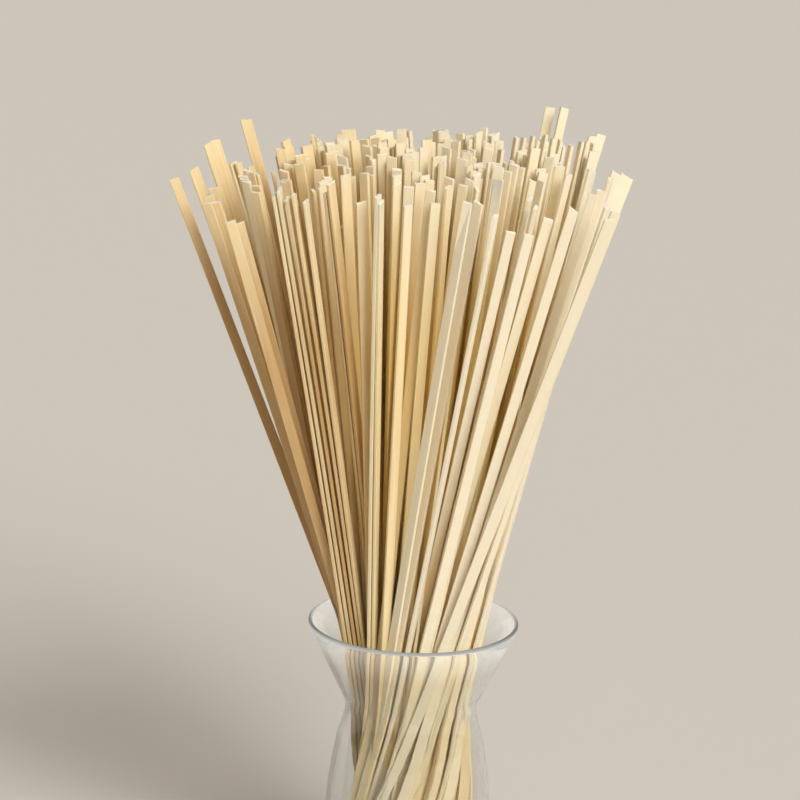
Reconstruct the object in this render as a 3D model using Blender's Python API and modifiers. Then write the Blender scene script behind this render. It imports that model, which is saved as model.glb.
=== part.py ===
"""Bundle of dried wheat noodles, standing fanned out in a small waisted glass.

Metres, +Z up.  The origin is the centre of the glass's foot, which rests on z = 0,
and the front of the bundle looks along -Y.

The noodles are flat sticks, stacked in small decks that all pass the glass's narrow
waist.  Each deck is a straight line that leans and turns about the axis, so the
bundle opens into a fan above the rim.  Decks are laid out by a rule with a fixed
seed, then pushed apart until none runs through another or through the glass.

A place in a level plane is written as a complex number, x + iy.
"""
import math

import bmesh
import bpy
import numpy as np
from mathutils import Matrix, Vector

MM = 0.001
MERGE_GAP = 0.01 * MM

# ---- glass: outer radii and heights
FOOT_RADIUS = 18.5 * MM
BODY_RADIUS = 25.4 * MM
BODY_HEIGHT = 30.0 * MM
SHOULDER_RADIUS = 22.6 * MM
SHOULDER_HEIGHT = 54.0 * MM
SHOULDER_SLOPE = -0.2
WAIST_RADIUS = 20.1 * MM
WAIST_HEIGHT = 65.0 * MM
FLARE_RADIUS = 22.2 * MM
FLARE_HEIGHT = 70.5 * MM
RIM_RADIUS = 32.1 * MM
RIM_HEIGHT = 92.0 * MM
WALL = 1.5 * MM
BASE_THICKNESS = 4.0 * MM
FLOOR_CORNER = 1.5 * MM
GLASS_STEPS = 36
CORNER_STEPS = 5
WALL_STEPS = (4, 4, 3, 1)
LIP_STEPS = 4
GLASS_TINT = (0.9, 0.94, 0.92)
GLASS_CREASE = math.radians(40)

# ---- one noodle
NOODLE_WIDTH = 3.0 * MM
NOODLE_THICKNESS = 1.0 * MM
NOODLE_LENGTH = 240.0 * MM
STAND_HEIGHT = BASE_THICKNESS + 0.4 * MM
TOP_HEIGHT = 232.0 * MM

# ---- the bundle
BUNDLE_RADIUS = 17.6 * MM
SPREAD = 8.3
TWIST = 13.5
FLATTENED = 0.88
BUNDLE_LEAN = complex(-0.02, -0.06)
OUTER_DECKS = 24
INNER_DECKS = 40
OUTER_RING = (11.0 * MM, 16.4 * MM)
INNER_RADIUS = 12.0 * MM
DECK_SIZES = (2, 3, 3, 4)
DECK_OPENING = (1.15, 2.4)
DECK_PITCH = 1.05 * NOODLE_THICKNESS
DECK_FAN = 1.6 * MM
FAN_START = 0.1
DECK_PITCH_SCATTER = (0.6, 1.4)
DECK_SLIP = 0.25 * MM
LEAN_SCATTER = 0.012
TURN_SCATTER = math.radians(40)
SPOT_TRIES = 60
SEED = 7

# ---- the noodles' ends
RULED_LIFT = -5 * MM
RAISED_SHARE = 0.12
RAISED = (2 * MM, 5 * MM)
STANDING = (0.0, 2.5 * MM)
BROKEN_SHARE = 0.05
BROKEN_OFF = (6 * MM, 22 * MM)
TRIMMED_OFF = (0.0, 2.5 * MM)
BROKEN_SLOPE = 0.35
CUT_SLOPE = 0.15
NOODLE_COLOR = (0.76, 0.66, 0.44)
NOODLE_CREASE = math.radians(20)

# ---- parting the decks
LEVELS = np.concatenate([
    np.linspace(STAND_HEIGHT, WAIST_HEIGHT, 8),
    np.linspace(WAIST_HEIGHT, RIM_HEIGHT, 9)[1:],
    np.linspace(RIM_HEIGHT, TOP_HEIGHT, 11)[1:],
])
PUSH_ROUNDS = (400, 100)
PUSH_STEP = 1.6
SHOWN_EASE = 0.2
SHOWN_CROWDING = 0.2
GLASS_CLEARANCE = 0.35 * MM
ALLOWED_OVERLAP = 0.3 * MM

# ---- single noodles that fill the gaps
FILL_TRIES = 12000
FILL_COUNT = 26
FILL_REACH = 17.4 * MM
FILL_SPREAD = (0.4, 1.0)
FILL_SCATTER = 0.03
FILL_OVERLAP = 0.1 * MM
FILL_TESTED = 90 * MM
TESTED_WIDTH = 1.02 * NOODLE_WIDTH
TESTED_THICKNESS = 1.05 * NOODLE_THICKNESS

# Decks that show at the front, left and right of the fan, in millimetres: where the
# deck passes the rim's level, where it passes the top's level, the turn of its wide
# side from X in degrees, how many noodles it has, how far each stands out beside the
# one before at the top's level, how far the deck stands above the floor (less than
# nothing: how much shorter it is), and whether it passes the waist inside the bundle,
# where nothing shows.
SHOWN_DECKS = (
    ((-21.5, -3), (-79, 9), 8, 1, 0, -1, True),
    ((-18, 0.5), (-72.5, 21.5), 12, 1, 0, 0, True),
    ((-15, 8), (-67, 45), 18, 2, 2, 7, True),
    ((-19, -1), (-63.5, -8), -6, 2, 2, -8, True),
    ((-18, -8), (-63, -36), -12, 2, 2.8, -4, True),
    ((-18, -12), (-53, -53), 4, 2, 3, -4, True),
    ((-11, 12), (-54.5, 49), 10, 2, 1, 8, True),
    ((-19, -13), (-40, -55), 80, 4, 0, 2, False),
    ((-16, -16), (-34, -57), 75, 2, 0, -2, False),
    ((-13, -14.5), (-27, -49), 55, 2, 0, -1, False),
    ((-12, -18.5), (-14, -54), 72, 2, 0, -4, False),
    ((-8.3, -19.5), (-6, -50), 35, 2, 1, -6, False),
    ((-5, -19), (1, -48), 20, 2, 3, -9, False),
    ((-1, -19.5), (12, -45), 15, 1, 0, -6, False),
    ((-1, -17), (22, -53), 10, 2, 2, -8, False),
    ((4, -16), (36, -44), 5, 2, 3, -6, False),
    ((9, -19), (43, -47), 5, 2, 2.8, -4, False),
    ((8, -22), (53.5, -50), 3, 2, 2.5, -1, False),
    ((9.5, -9), (56.5, 2), 6, 3, 3, 2, True),
    ((14.6, -2), (37, 4), 102, 12, 0, 0, False),
    ((10, 8), (35, 24), 4, 1, 0, 8, True),
    ((12, 6), (49, 24), 14, 2, 3, 5, True),
    ((12, 10), (38, 19), 24, 1, 0, 6, True),
)

# ---- the core that carries the noodles, and the inner noodles that start in it
CORE_SHARE = 0.81
CORE_SHOULDER = 76.0 * MM
CORE_TOP = 98.0 * MM
CORE_BEVEL = 3.0 * MM
CORE_STEPS = 20
SIDE_STEPS = 6
DOME_STEPS = 4
INNER_START = WAIST_HEIGHT
INNER_TESTED = 106.0 * MM


# ------------------------------------------------------------------ scene and looks

def clear_scene():
    """Remove every object that the file holds."""
    for obj in list(bpy.data.objects):
        bpy.data.objects.remove(obj, do_unlink=True)


def make_collection(name):
    """A new collection in the scene."""
    collection = bpy.data.collections.new(name)
    bpy.context.scene.collection.children.link(collection)
    return collection


def make_material(name, color, roughness, transmission=0.0):
    """A plain Principled finish."""
    material = bpy.data.materials.new(name)
    material.use_nodes = True
    shader = material.node_tree.nodes["Principled BSDF"]
    shader.inputs["Base Color"].default_value = (*color, 1.0)
    shader.inputs["Roughness"].default_value = roughness
    shader.inputs["Metallic"].default_value = 0.0
    shader.inputs["Transmission Weight"].default_value = transmission
    return material


def add_object(name, mesh, material, collection):
    """An object of this mesh, linked to the collection."""
    obj = bpy.data.objects.new(name, mesh)
    obj.data.materials.append(material)
    collection.objects.link(obj)
    return obj


def turned_object(name, profile, steps, material, collection):
    """A profile of (radius, height) points turned about Z by a Screw modifier."""
    mesh = bpy.data.meshes.new(name)
    edges = [(k, k + 1) for k in range(len(profile) - 1)]
    mesh.from_pydata([(radius, 0.0, height) for radius, height in profile], edges, [])
    obj = add_object(name, mesh, material, collection)
    screw = obj.modifiers.new("Turn", "SCREW")
    screw.angle = 2 * math.pi
    screw.steps = steps
    screw.render_steps = steps
    screw.use_merge_vertices = True
    screw.merge_threshold = MERGE_GAP
    return obj


def evaluated_mesh(obj):
    """The object's mesh after its modifiers."""
    depsgraph = bpy.context.evaluated_depsgraph_get()
    return bpy.data.meshes.new_from_object(obj.evaluated_get(depsgraph))


# ------------------------------------------------------------------ glass

def hermite(start, end, count):
    """Points on a smooth curve between two (radius, height, slope) stations."""
    radius_0, height_0, slope_0 = start
    radius_1, height_1, slope_1 = end
    rise = height_1 - height_0
    points = []
    for k in range(count):
        t = k / count
        radius = (
            (2 * t**3 - 3 * t**2 + 1) * radius_0
            + (t**3 - 2 * t**2 + t) * rise * slope_0
            + (3 * t**2 - 2 * t**3) * radius_1
            + (t**3 - t**2) * rise * slope_1
        )
        points.append((radius, height_0 + rise * t))
    return points


def outer_wall():
    """The glass's outer face from the foot's edge up to the lip."""
    flare_slope = (RIM_RADIUS - FLARE_RADIUS) / (RIM_HEIGHT - FLARE_HEIGHT)
    stations = (
        (BODY_RADIUS, BODY_HEIGHT, 0.0),
        (SHOULDER_RADIUS, SHOULDER_HEIGHT, SHOULDER_SLOPE),
        (WAIST_RADIUS, WAIST_HEIGHT, 0.0),
        (FLARE_RADIUS, FLARE_HEIGHT, flare_slope),
        (RIM_RADIUS, RIM_HEIGHT - WALL / 2, flare_slope),
    )
    points = []
    for k in range(CORNER_STEPS):
        angle = 0.5 * math.pi * k / CORNER_STEPS
        radius = FOOT_RADIUS + (BODY_RADIUS - FOOT_RADIUS) * math.sin(angle)
        points.append((radius, BODY_HEIGHT * (1 - math.cos(angle))))
    for start, end, count in zip(stations, stations[1:], WALL_STEPS):
        points += hermite(start, end, count)
    points.append(stations[-1][:2])
    return points


def inner_wall(outer):
    """The outer face moved inward by the wall, from the floor's edge upward."""
    points = []
    for k in range(1, len(outer)):
        here = outer[k]
        after = outer[min(k + 1, len(outer) - 1)]
        along = (Vector(after) - Vector(outer[k - 1])).normalized()
        radius = here[0] - WALL * along.y
        height = here[1] + WALL * along.x
        if height > BASE_THICKNESS + FLOOR_CORNER:
            points.append((radius, height))
    return [(points[0][0] - FLOOR_CORNER, BASE_THICKNESS)] + points


def lip(outer, inner):
    """A half circle from the inner wall over the rim to the outer wall."""
    start = Vector(inner[-1])
    end = Vector(outer[-1])
    centre = (start + end) / 2
    reach = (end - start) / 2
    upward = Vector((-reach.y, reach.x))
    points = []
    for k in range(LIP_STEPS + 1):
        angle = math.pi * k / LIP_STEPS
        point = centre - reach * math.cos(angle) + upward * math.sin(angle)
        points.append((point.x, point.y))
    return points


def make_glass(collection):
    """A waisted tumbler: rounded body, narrow waist and a flared mouth."""
    outer = outer_wall()
    inner = inner_wall(outer)
    profile = [(0.0, BASE_THICKNESS)] + inner[:-1]
    profile += lip(outer, inner) + outer[-2::-1] + [(0.0, 0.0)]
    material = make_material("clear_glass", GLASS_TINT, 0.02, transmission=1.0)
    return turned_object("glass", profile, GLASS_STEPS, material, collection)


# ------------------------------------------------------------------ laying out the decks

def bundle_opening(height):
    """How much the bundle has opened and turned at a height, as a complex factor."""
    return 1 + complex(SPREAD, TWIST) * (height - WAIST_HEIGHT)


def common_slope(waist):
    """The lean of a noodle that opens and turns with the bundle from its spot."""
    slope = complex(SPREAD, TWIST) * waist
    return complex(slope.real, FLATTENED * slope.imag) + BUNDLE_LEAN


def core_radius(height):
    """The core's radius at a height below its shoulder."""
    return CORE_SHARE * BUNDLE_RADIUS * abs(bundle_opening(height))


def even_spots(rng, count, ring, taken):
    """Places spread evenly in a ring, away from those already taken."""
    spots = list(taken)
    for _ in range(count):
        angles = rng.uniform(0, 2 * math.pi, SPOT_TRIES)
        radii = np.sqrt(rng.uniform(ring[0] ** 2, ring[1] ** 2, SPOT_TRIES))
        places = radii * np.exp(1j * angles)
        gaps = np.min(abs(places[:, None] - np.array(spots)[None, :]), axis=1)
        spots.append(places[int(np.argmax(gaps))])
    return spots[len(taken):]


def shown_deck(row):
    """One deck of the list of those that show."""
    rim, top, turn, count, fan, lift, inner = row
    at_rim = complex(*rim) * MM
    slope = (complex(*top) * MM - at_rim) / (TOP_HEIGHT - RIM_HEIGHT)
    return {
        "waist": at_rim + slope * (WAIST_HEIGHT - RIM_HEIGHT),
        "slope": slope,
        "turn": math.radians(turn),
        "count": count,
        "fan": fan * MM,
        "lift": lift * MM,
        "inner": inner,
        "shown": True,
    }


def ruled_deck(rng, waist, inner):
    """One deck that follows the bundle's common spread and twist."""
    return {
        "waist": waist,
        "slope": common_slope(waist) + complex(*rng.normal(0, LEAN_SCATTER, 2)),
        "turn": rng.normal(0, TURN_SCATTER),
        "count": int(rng.choice(DECK_SIZES)),
        "fan": rng.uniform(-DECK_FAN, DECK_FAN),
        "lift": RULED_LIFT,
        "inner": inner,
        "shown": False,
    }


def lay_out_decks(rng):
    """All decks: the shown ones, then an outer ring and the inside."""
    decks = [shown_deck(row) for row in SHOWN_DECKS]
    taken = [deck["waist"] for deck in decks]
    for waist in even_spots(rng, OUTER_DECKS, OUTER_RING, taken):
        decks.append(ruled_deck(rng, waist, inner=False))
    taken = [deck["waist"] for deck in decks]
    for waist in even_spots(rng, INNER_DECKS, (0.0, INNER_RADIUS), taken):
        decks.append(ruled_deck(rng, waist, inner=True))
    return decks


def stack_noodles(rng, decks):
    """The noodles of every deck, side by side, with their places in it."""
    noodles = []
    for number, deck in enumerate(decks):
        sideways = np.exp(1j * deck["turn"])
        across = 1j * sideways
        opening = rng.uniform(*DECK_OPENING)
        count = deck["count"]
        places = np.arange(count) - (count - 1) / 2
        low = places * DECK_PITCH
        pitches = rng.uniform(*DECK_PITCH_SCATTER, count) * NOODLE_THICKNESS
        spread = np.cumsum(pitches) * (opening - 1)
        high = low + spread - spread.mean()
        slip = rng.normal(0, DECK_SLIP, count)
        fan = places * deck["fan"]
        for k in range(count):
            noodles.append({
                "deck": number,
                "turn": deck["turn"],
                "low": low[k] * across + (slip[k] + FAN_START * fan[k]) * sideways,
                "high": high[k] * across + (2 * slip[k] + fan[k]) * sideways,
                "lift": deck["lift"],
                "inner": deck["inner"],
                "shown": deck["shown"],
            })
    return noodles


# ------------------------------------------------------------------ pushing decks apart

def overlap(gap, side_1, side_2):
    """How deep noodle sections run into each other, and the push that parts them."""
    least = np.full(gap.shape, np.inf)
    push = np.zeros(gap.shape, complex)
    for axis in (side_1, 1j * side_1, side_2, 1j * side_2):
        reach = 0.0
        for side in (side_1, side_2):
            turned = side * axis.conj()
            reach = reach + TESTED_WIDTH / 2 * abs(turned.real)
            reach = reach + TESTED_THICKNESS / 2 * abs(turned.imag)
        along = (gap * axis.conj()).real
        depth = reach - abs(along)
        smaller = depth < least
        least = np.where(smaller, depth, least)
        push = np.where(smaller, axis * np.where(along < 0, -1, 1) * depth, push)
    return least, push


def overlapping_pairs(centres, turns, usable):
    """Pairs of noodles whose sections overlap at one level, and how to part them."""
    between = centres[None, :] - centres[:, None]
    near = abs(between) < math.hypot(TESTED_WIDTH, TESTED_THICKNESS)
    first, second = np.nonzero(np.triu(near & usable[:, None] & usable[None, :], 1))
    sides = np.exp(1j * turns)
    depth, push = overlap(between[first, second], sides[first], sides[second])
    hit = depth > 0
    return first[hit], second[hit], push[hit]


class Bundle:
    """Noodles in decks, each deck a straight line from the floor's level to the top's."""

    def __init__(self, decks, noodles, wall):
        self.member = np.array([noodle["deck"] for noodle in noodles])
        self.turns = np.array([noodle["turn"] for noodle in noodles])
        self.low = np.array([noodle["low"] for noodle in noodles])
        self.high = np.array([noodle["high"] for noodle in noodles])
        self.inner = np.array([noodle["inner"] for noodle in noodles])
        self.shown = np.array([noodle["shown"] for noodle in noodles])
        self.kept = np.ones(len(noodles), bool)
        self.ease = np.array([SHOWN_EASE if deck["shown"] else 1.0 for deck in decks])
        waist = np.array([deck["waist"] for deck in decks])
        slope = np.array([deck["slope"] for deck in decks])
        self.foot = waist + slope * (STAND_HEIGHT - WAIST_HEIGHT)
        self.top = waist + slope * (TOP_HEIGHT - WAIST_HEIGHT)
        self.wall_radii = [point[0] for point in wall]
        self.wall_heights = [point[1] for point in wall]

    def centres(self, height):
        """Where every noodle's centre line passes a level."""
        share = (height - STAND_HEIGHT) / (TOP_HEIGHT - STAND_HEIGHT)
        at_foot = self.foot[self.member] + self.low
        at_top = self.top[self.member] + self.high
        return (1 - share) * at_foot + share * at_top

    def crossings(self, height):
        """Noodles of unlike decks that overlap at a level, and how to part them."""
        usable = self.kept & (~self.inner | (height > INNER_TESTED))
        first, second, push = overlapping_pairs(self.centres(height), self.turns, usable)
        apart = self.member[first] != self.member[second]
        return first[apart], second[apart], push[apart]

    def room(self, height):
        """How far from the axis each noodle may reach at a level."""
        wall = np.interp(height, self.wall_heights, self.wall_radii) - GLASS_CLEARANCE
        inner_room = wall
        if height < INNER_START or height > RIM_HEIGHT:
            inner_room = np.inf
        if height == INNER_START:
            inner_room = core_radius(height)
        outer_room = np.inf if height > RIM_HEIGHT else wall
        return np.where(self.inner, inner_room, outer_room)

    def wall_contacts(self, height):
        """Noodles that reach past the room they have, and the way back inside."""
        room = self.room(height)
        half = complex(NOODLE_WIDTH, NOODLE_THICKNESS) / 2
        contacts = []
        for corner in (half, half.conjugate(), -half, -half.conjugate()):
            place = self.centres(height) + corner * np.exp(1j * self.turns)
            beyond = np.maximum(abs(place) - room, 0) * self.kept
            rows = np.nonzero(beyond)[0]
            contacts.append((rows, -place[rows] / abs(place[rows]) * beyond[rows]))
        return contacts

    def push_apart(self, rounds):
        """Shift and tilt whole decks until nothing overlaps, or the rounds are over."""
        for _ in range(rounds):
            foot_move = np.zeros(len(self.foot), complex)
            top_move = np.zeros(len(self.foot), complex)
            hits = np.zeros(len(self.foot))
            for height in LEVELS:
                share = (height - STAND_HEIGHT) / (TOP_HEIGHT - STAND_HEIGHT)
                weight = (1 - share) ** 2 + share**2
                first, second, push = self.crossings(height)
                moves = [(first, -push / 2), (second, push / 2)]
                for rows, move in moves + self.wall_contacts(height):
                    deck = self.member[rows]
                    np.add.at(foot_move, deck, move * (1 - share) / weight)
                    np.add.at(top_move, deck, move * share / weight)
                    np.add.at(hits, deck, 1)
            step = PUSH_STEP / np.maximum(hits, 1) * self.ease
            self.foot += foot_move * step
            self.top += top_move * step

    def drop_crowded(self):
        """Leave out, worst first, each noodle that still runs through something."""
        pairs = []
        for height in LEVELS:
            first, second, push = self.crossings(height)
            deep = abs(push) > ALLOWED_OVERLAP
            pairs += zip(first[deep], second[deep], abs(push[deep]))
            for rows, move in self.wall_contacts(height):
                outside = rows[abs(move) > GLASS_CLEARANCE]
                self.kept[outside] = False
        while pairs:
            crowding = np.zeros(len(self.kept))
            for first, second, depth in pairs:
                crowding[first] += depth
                crowding[second] += depth
            crowding[self.shown] *= SHOWN_CROWDING
            worst = int(np.argmax(crowding))
            self.kept[worst] = False
            pairs = [pair for pair in pairs if worst not in pair[:2]]


def cut_to_length(rng, noodle, start, lean):
    """A noodle's turn, its two ends on the line that it follows, and its cut's slope."""
    raised = rng.random() < RAISED_SHARE and not noodle["shown"]
    broken = rng.random() < BROKEN_SHARE and not noodle["shown"]
    lift = max(noodle["lift"], 0.0) + rng.uniform(*(RAISED if raised else STANDING))
    length = NOODLE_LENGTH + min(noodle["lift"], 0.0)
    length -= rng.uniform(*(BROKEN_OFF if broken else TRIMMED_OFF))
    rise = length / math.sqrt(1 + abs(lean) ** 2)
    return {
        "start": (start + lean * lift, STAND_HEIGHT + lift),
        "end": (start + lean * (lift + rise), STAND_HEIGHT + lift + rise),
        "turn": noodle["turn"],
        "inner": noodle["inner"],
        "cut": rng.normal(0, BROKEN_SLOPE if broken else CUT_SLOPE),
    }


def deck_noodles(rng, bundle, noodles):
    """The noodles of the decks, without those that found no room."""
    starts = bundle.centres(STAND_HEIGHT)
    leans = (bundle.centres(TOP_HEIGHT) - starts) / (TOP_HEIGHT - STAND_HEIGHT)
    placed = []
    for noodle, start, lean, kept in zip(noodles, starts, leans, bundle.kept):
        cut = cut_to_length(rng, noodle, start, lean)
        if kept:
            placed.append(cut)
    return placed


def furthest_corner(line, side):
    """How far from the axis a noodle reaches at each level."""
    half = complex(NOODLE_WIDTH, NOODLE_THICKNESS) / 2
    corners = [half, half.conjugate(), -half, -half.conjugate()]
    return np.max([abs(line + corner * side) for corner in corners], axis=0)


def filling_noodles(rng, bundle):
    """Single noodles slipped into the room that the decks leave."""
    places = np.array([bundle.centres(height) for height in LEVELS])[:, bundle.kept]
    rooms = np.array([bundle.room(height)[~bundle.inner][0] for height in LEVELS])
    sides = np.exp(1j * bundle.turns[bundle.kept])
    above = LEVELS > FILL_TESTED
    placed = []
    for _ in range(FILL_TRIES):
        radius = math.sqrt(rng.uniform(0, FILL_REACH**2))
        waist = radius * np.exp(1j * rng.uniform(0, 2 * math.pi))
        slope = common_slope(waist * rng.uniform(*FILL_SPREAD))
        slope += complex(*rng.normal(0, FILL_SCATTER, 2))
        turn = rng.uniform(0, math.pi)
        side = np.exp(1j * turn)
        line = waist + slope * (LEVELS - WAIST_HEIGHT)
        depth, _ = overlap(places - line[:, None], np.full(places.shape, side), sides[None, :])
        blocked = np.any(depth[above] > FILL_OVERLAP)
        if blocked or np.any(furthest_corner(line, side) > rooms):
            continue
        noodle = {"turn": turn, "lift": RULED_LIFT, "inner": False, "shown": False}
        start = waist + slope * (STAND_HEIGHT - WAIST_HEIGHT)
        placed.append(cut_to_length(rng, noodle, start, slope))
        places = np.column_stack([places, line])
        sides = np.append(sides, side)
        if len(placed) == FILL_COUNT:
            break
    return placed


def arranged_noodles(wall):
    """Every noodle of the bundle."""
    rng = np.random.default_rng(SEED)
    decks = lay_out_decks(rng)
    noodles = stack_noodles(rng, decks)
    bundle = Bundle(decks, noodles, wall)
    for rounds in PUSH_ROUNDS:
        bundle.push_apart(rounds)
        bundle.drop_crowded()
    return deck_noodles(rng, bundle, noodles) + filling_noodles(rng, bundle)


# ------------------------------------------------------------------ noodles as one solid

def level_point(end):
    """The (complex place, height) pair as a vector."""
    place, height = end
    return Vector((place.real, place.imag, height))


def make_stick(name, noodle, material, collection):
    """One noodle as a straight flat stick with a cut end."""
    start = level_point(noodle["start"])
    end = level_point(noodle["end"])
    axis = (end - start).normalized()
    if noodle["inner"]:
        start += axis * ((INNER_START - start.z) / axis.z)
    width = Vector((math.cos(noodle["turn"]), math.sin(noodle["turn"]), 0.0))
    width = (width - axis * width.dot(axis)).normalized()
    depth = axis.cross(width)
    length = (end - start).length
    frame = Matrix((width, depth, axis)).transposed().to_4x4()
    sizes = Matrix.Diagonal((NOODLE_WIDTH, NOODLE_THICKNESS, length, 1.0))
    bm = bmesh.new()
    bmesh.ops.create_cube(bm, size=1.0, matrix=sizes)
    for vertex in bm.verts:
        if vertex.co.z > 0:
            vertex.co.z += noodle["cut"] * vertex.co.x
    bmesh.ops.transform(
        bm, matrix=Matrix.Translation((start + end) / 2) @ frame, verts=bm.verts
    )
    mesh = bpy.data.meshes.new(name)
    bm.to_mesh(mesh)
    bm.free()
    return add_object(name, mesh, material, collection)


def core_profile():
    """The core's outline from its dome's tip down to its flat underside."""
    points = []
    for k in range(DOME_STEPS):
        angle = 0.5 * math.pi * k / DOME_STEPS
        height = CORE_SHOULDER + (CORE_TOP - CORE_SHOULDER) * math.cos(angle)
        points.append((core_radius(CORE_SHOULDER) * math.sin(angle), height))
    side = np.linspace(CORE_SHOULDER, STAND_HEIGHT + CORE_BEVEL, SIDE_STEPS + 1)
    for height in side:
        points.append((core_radius(height), height))
    points.append((points[-1][0] - CORE_BEVEL, STAND_HEIGHT))
    points.append((0.0, STAND_HEIGHT))
    return points


def keep_largest_shell(mesh):
    """Fill sealed hollows and drop loose scraps: keep the widest closed shell."""
    bm = bmesh.new()
    bm.from_mesh(mesh)
    waiting = set(bm.verts)
    shells = []
    while waiting:
        shell = {waiting.pop()}
        edge = list(shell)
        while edge:
            vertex = edge.pop()
            for link in vertex.link_edges:
                other = link.other_vert(vertex)
                if other in waiting:
                    waiting.remove(other)
                    shell.add(other)
                    edge.append(other)
        shells.append(shell)
    largest = max(shells, key=len)
    spare = [vertex for vertex in bm.verts if vertex not in largest]
    bmesh.ops.delete(bm, geom=spare, context="VERTS")
    bm.to_mesh(mesh)
    bm.free()


def make_noodles(wall, collection, cutters):
    """The whole bundle as one solid: a core with the noodles fused on."""
    material = make_material("dried_noodle", NOODLE_COLOR, 0.6)
    bundle = turned_object("noodles", core_profile(), CORE_STEPS, material, collection)
    for number, noodle in enumerate(arranged_noodles(wall)):
        make_stick(f"stick_{number:03d}", noodle, material, cutters)
    union = bundle.modifiers.new("Fuse", "BOOLEAN")
    union.operation = "UNION"
    union.operand_type = "COLLECTION"
    union.collection = cutters
    union.solver = "EXACT"
    mesh = evaluated_mesh(bundle)
    bundle.modifiers.clear()
    bundle.data = mesh
    keep_largest_shell(mesh)
    for stick in list(cutters.objects):
        bpy.data.objects.remove(stick, do_unlink=True)
    return bundle


def main():
    """Build the glass and the noodles."""
    clear_scene()
    collection = make_collection("noodles_in_a_glass")
    cutters = make_collection("sticks_to_fuse")
    glass = make_glass(collection)
    wall = inner_wall(outer_wall())
    bundle = make_noodles(wall, collection, cutters)
    bpy.data.collections.remove(cutters)
    for obj in (glass, bundle):
        obj.data.shade_smooth()
    glass.data.set_sharp_from_angle(angle=GLASS_CREASE)
    bundle.data.set_sharp_from_angle(angle=NOODLE_CREASE)


main()
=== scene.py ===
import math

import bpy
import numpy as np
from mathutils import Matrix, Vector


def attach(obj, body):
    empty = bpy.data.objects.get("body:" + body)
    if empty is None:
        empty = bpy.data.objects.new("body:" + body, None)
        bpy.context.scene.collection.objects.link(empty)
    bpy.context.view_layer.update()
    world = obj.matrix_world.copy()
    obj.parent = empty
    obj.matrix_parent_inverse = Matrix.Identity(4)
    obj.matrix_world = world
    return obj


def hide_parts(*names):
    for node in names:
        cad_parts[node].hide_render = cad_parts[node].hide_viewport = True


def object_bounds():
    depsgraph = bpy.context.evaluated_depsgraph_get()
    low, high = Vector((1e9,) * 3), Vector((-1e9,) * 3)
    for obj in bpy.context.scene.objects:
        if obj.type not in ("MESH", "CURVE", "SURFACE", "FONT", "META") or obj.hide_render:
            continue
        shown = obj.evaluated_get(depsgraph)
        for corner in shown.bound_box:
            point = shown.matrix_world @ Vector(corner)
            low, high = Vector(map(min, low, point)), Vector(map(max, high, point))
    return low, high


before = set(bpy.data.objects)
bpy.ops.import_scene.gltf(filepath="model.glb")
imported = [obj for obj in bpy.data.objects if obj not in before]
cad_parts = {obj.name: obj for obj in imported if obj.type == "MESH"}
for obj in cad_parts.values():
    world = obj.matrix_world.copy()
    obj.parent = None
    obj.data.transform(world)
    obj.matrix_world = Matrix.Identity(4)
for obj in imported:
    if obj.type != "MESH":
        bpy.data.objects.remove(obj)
CAD_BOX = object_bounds()

# Bundle of dried wheat noodles, standing fanned out in a small waisted glass.
# Metres, +Z up, the glass's foot on z = 0 and the front of the bundle towards -Y.
#
# The noodles are laid out here by the same rule and the same seed as the solid that
# they stand for, with more single ones between them.  Each is then made at full
# length, with its own slight bend, its own tone and its own cut end.  A place in a
# level plane is a complex number.

MM = 0.001

# ---- glass: outer radii and heights
FOOT_RADIUS = 18.5 * MM
BODY_RADIUS = 25.4 * MM
BODY_HEIGHT = 30.0 * MM
SHOULDER_RADIUS = 22.6 * MM
SHOULDER_HEIGHT = 54.0 * MM
SHOULDER_SLOPE = -0.2
WAIST_RADIUS = 20.1 * MM
WAIST_HEIGHT = 65.0 * MM
FLARE_RADIUS = 22.2 * MM
FLARE_HEIGHT = 70.5 * MM
RIM_RADIUS = 32.1 * MM
RIM_HEIGHT = 92.0 * MM
WALL = 1.5 * MM
BASE_THICKNESS = 4.0 * MM
FLOOR_CORNER = 1.5 * MM
GLASS_STEPS = 144
CORNER_STEPS = 5
WALL_STEPS = (4, 4, 3, 1)
LIP_STEPS = 14
FINE = 5
MERGE_GAP = 0.01 * MM

# ---- one noodle
NOODLE_WIDTH = 3.0 * MM
NOODLE_THICKNESS = 1.0 * MM
NOODLE_LENGTH = 240.0 * MM
STAND_HEIGHT = BASE_THICKNESS + 0.4 * MM
TOP_HEIGHT = 232.0 * MM
EDGE_ROUND = 0.14 * MM
RINGS = 12
IN_GLASS_LENGTH = 64.0 * MM
IN_GLASS_RINGS = 9

# ---- the bundle
BUNDLE_RADIUS = 17.6 * MM
SPREAD = 8.3
TWIST = 13.5
FLATTENED = 0.88
BUNDLE_LEAN = complex(-0.02, -0.06)
OUTER_DECKS = 24
INNER_DECKS = 40
OUTER_RING = (11.0 * MM, 16.4 * MM)
INNER_RADIUS = 12.0 * MM
DECK_SIZES = (2, 3, 3, 4)
DECK_OPENING = (1.15, 2.4)
DECK_PITCH = 1.05 * NOODLE_THICKNESS
DECK_FAN = 1.6 * MM
FAN_START = 0.1
DECK_PITCH_SCATTER = (0.6, 1.4)
DECK_SLIP = 0.25 * MM
LEAN_SCATTER = 0.012
TURN_SCATTER = math.radians(40)
SPOT_TRIES = 60
SEED = 7

# ---- the noodles' ends
RULED_LIFT = -5 * MM
RAISED_SHARE = 0.12
RAISED = (2 * MM, 5 * MM)
STANDING = (0.0, 2.5 * MM)
BROKEN_SHARE = 0.05
BROKEN_OFF = (6 * MM, 22 * MM)
TRIMMED_OFF = (0.0, 2.5 * MM)
BROKEN_SLOPE = 0.35
CUT_SLOPE = 0.15

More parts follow.
